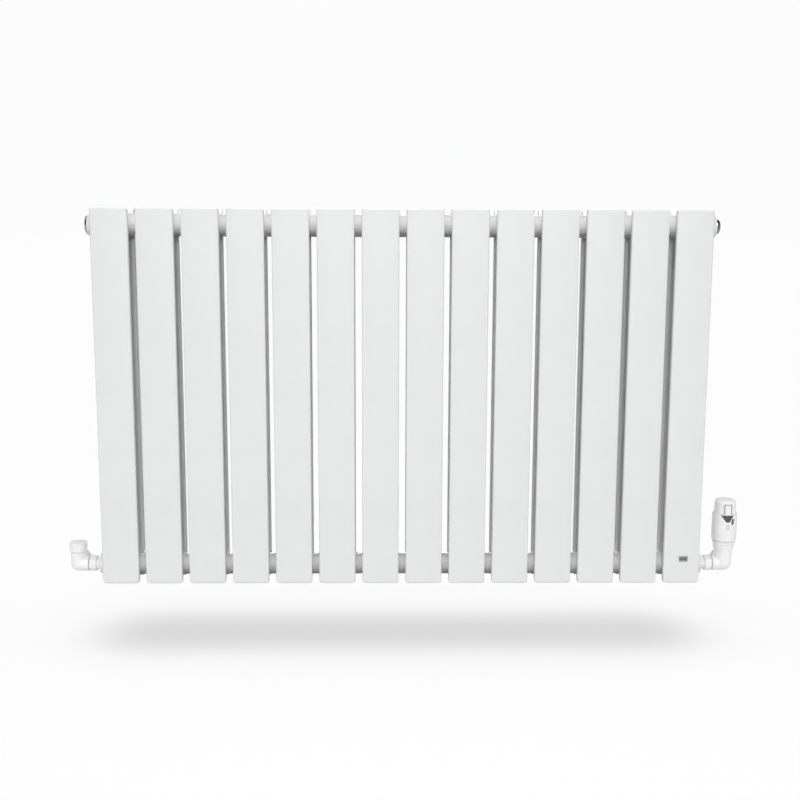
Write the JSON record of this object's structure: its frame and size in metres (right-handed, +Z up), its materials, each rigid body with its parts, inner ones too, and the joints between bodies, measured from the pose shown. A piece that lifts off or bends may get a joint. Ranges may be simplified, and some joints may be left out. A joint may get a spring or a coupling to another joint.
{
  "type": "panel radiator",
  "caption": "Wall-hung radiator of flat upright panels in two rows on round headers, with a thermostatic corner valve and a lockshield corner valve.",
  "frame": {"origin": "on the wall plane, at the centre of the rectangle of wall screws, level with the middle of the panels", "axes": "+X along the radiator to the right seen from the room, +Y into the wall, +Z up"},
  "size_m": [1.0943, 0.0908, 0.6],
  "materials": {
    "panel_paint": "satin white powder coat",
    "header_paint": "satin white powder coat",
    "bracket_paint": "satin white powder coat",
    "valve_paint": "gloss white lacquer on brass",
    "head_plastic": "white moulded plastic",
    "sleeve_plastic": "white moulded plastic",
    "cap_plastic": "white moulded plastic",
    "chrome": "polished chrome plate",
    "badge_metal": "dark satin metal",
    "seal_rubber": "matt",
    "liner_nylon": "natural nylon",
    "olive_brass": "plain",
    "brass": "turned",
    "pin_steel": "turned stainless",
    "spring_steel": "drawn wire",
    "sensor_shell": "pressed shell"
  },
  "bodies": {
    "radiator": {"front_panel_01": "panel_paint", "front_panel_02": "panel_paint", "front_panel_03": "panel_paint", "front_panel_04": "panel_paint", "front_panel_05": "panel_paint", "front_panel_06": "panel_paint", "front_panel_07": "panel_paint", "front_panel_08": "panel_paint", "front_panel_09": "panel_paint", "front_panel_10": "panel_paint", "front_panel_11": "panel_paint", "front_panel_12": "panel_paint", "front_panel_13": "panel_paint", "front_panel_14": "panel_paint", "back_panel_01": "panel_paint", "back_panel_02": "panel_paint", "back_panel_03": "panel_paint", "back_panel_04": "panel_paint", "back_panel_05": "panel_paint", "back_panel_06": "panel_paint", "back_panel_07": "panel_paint", "back_panel_08": "panel_paint", "back_panel_09": "panel_paint", "back_panel_10": "panel_paint", "back_panel_11": "panel_paint", "back_panel_12": "panel_paint", "back_panel_13": "panel_paint", "back_panel_14": "panel_paint", "top_header": "header_paint", "bottom_header": "header_paint", "header_end_bushes": "header_paint", "blanking_plug": "chrome", "plug_seals": "seal_rubber", "air_vent_body": "chrome", "badge_plate": "badge_metal", "hanging_lugs": "bracket_paint", "wall_brackets": "bracket_paint", "bracket_liners": "liner_nylon", "union_tails": "valve_paint", "union_nuts": "valve_paint", "compression_nuts": "valve_paint", "olives": "olive_brass", "trv_body": "valve_paint", "trv_insert": "brass", "trv_gland": "brass", "trv_spring": "spring_steel", "trv_collar_nut": "head_plastic", "trv_head_base": "head_plastic", "trv_overtravel_spring": "spring_steel", "trv_cap": "head_plastic", "lockshield_body": "valve_paint", "lockshield_gland": "brass"},
    "trv_sleeve": {"trv_sleeve": "sleeve_plastic"},
    "trv_sensor": {"trv_sensor": "sensor_shell"},
    "trv_pin": {"trv_pin": "pin_steel", "trv_seat_disc": "seal_rubber"},
    "bleed_screw": {"bleed_screw": "chrome"},
    "lockshield_cap": {"lockshield_cap": "cap_plastic"},
    "lockshield_spindle": {"lockshield_spindle": "brass"},
    "lockshield_plug": {"lockshield_plug": "brass"}
  },
  "joints": [
    {"name": "head_turn", "type": "hinge", "parent": "radiator", "child": "trv_sleeve", "pos_m": [0.53075, -0.0625, -0.274], "axis": [0, 0, 1], "range_deg": [0, 300]},
    {"name": "sensor_lift", "type": "slide", "parent": "radiator", "child": "trv_sensor", "axis": [0, 0, 1], "range_m": [0, 0.0025], "deforming": ["trv_overtravel_spring"]},
    {"name": "pin_lift", "type": "slide", "parent": "radiator", "child": "trv_pin", "axis": [0, 0, 1], "range_m": [0, 0.0025], "deforming": ["trv_spring"]},
    {"name": "bleed_turn", "type": "hinge", "parent": "radiator", "child": "bleed_screw", "pos_m": [0.49425, -0.0625, 0.274], "axis": [1, 0, 0], "range_deg": [0, 180]},
    {"name": "cap_pull_off", "type": "slide", "parent": "radiator", "child": "lockshield_cap", "axis": [0, 0, 1], "range_m": [0, 0.03]},
    {"name": "spindle_turn", "type": "hinge", "parent": "radiator", "child": "lockshield_spindle", "pos_m": [-0.52915, -0.0625, -0.274], "axis": [0, 0, 1], "range_deg": [0, 720]},
    {"name": "plug_lift", "type": "slide", "parent": "radiator", "child": "lockshield_plug", "axis": [0, 0, 1], "range_m": [0, 0.003]}
  ],
  "couplings": [
    {"joint": "sensor_lift", "follows": "head_turn", "m_per_rad": 0.0004774},
    {"joint": "pin_lift", "follows": "head_turn", "m_per_rad": 0.0004774},
    {"joint": "spindle_turn", "follows": "plug_lift", "rad_per_m": 4188.8}
  ]
}
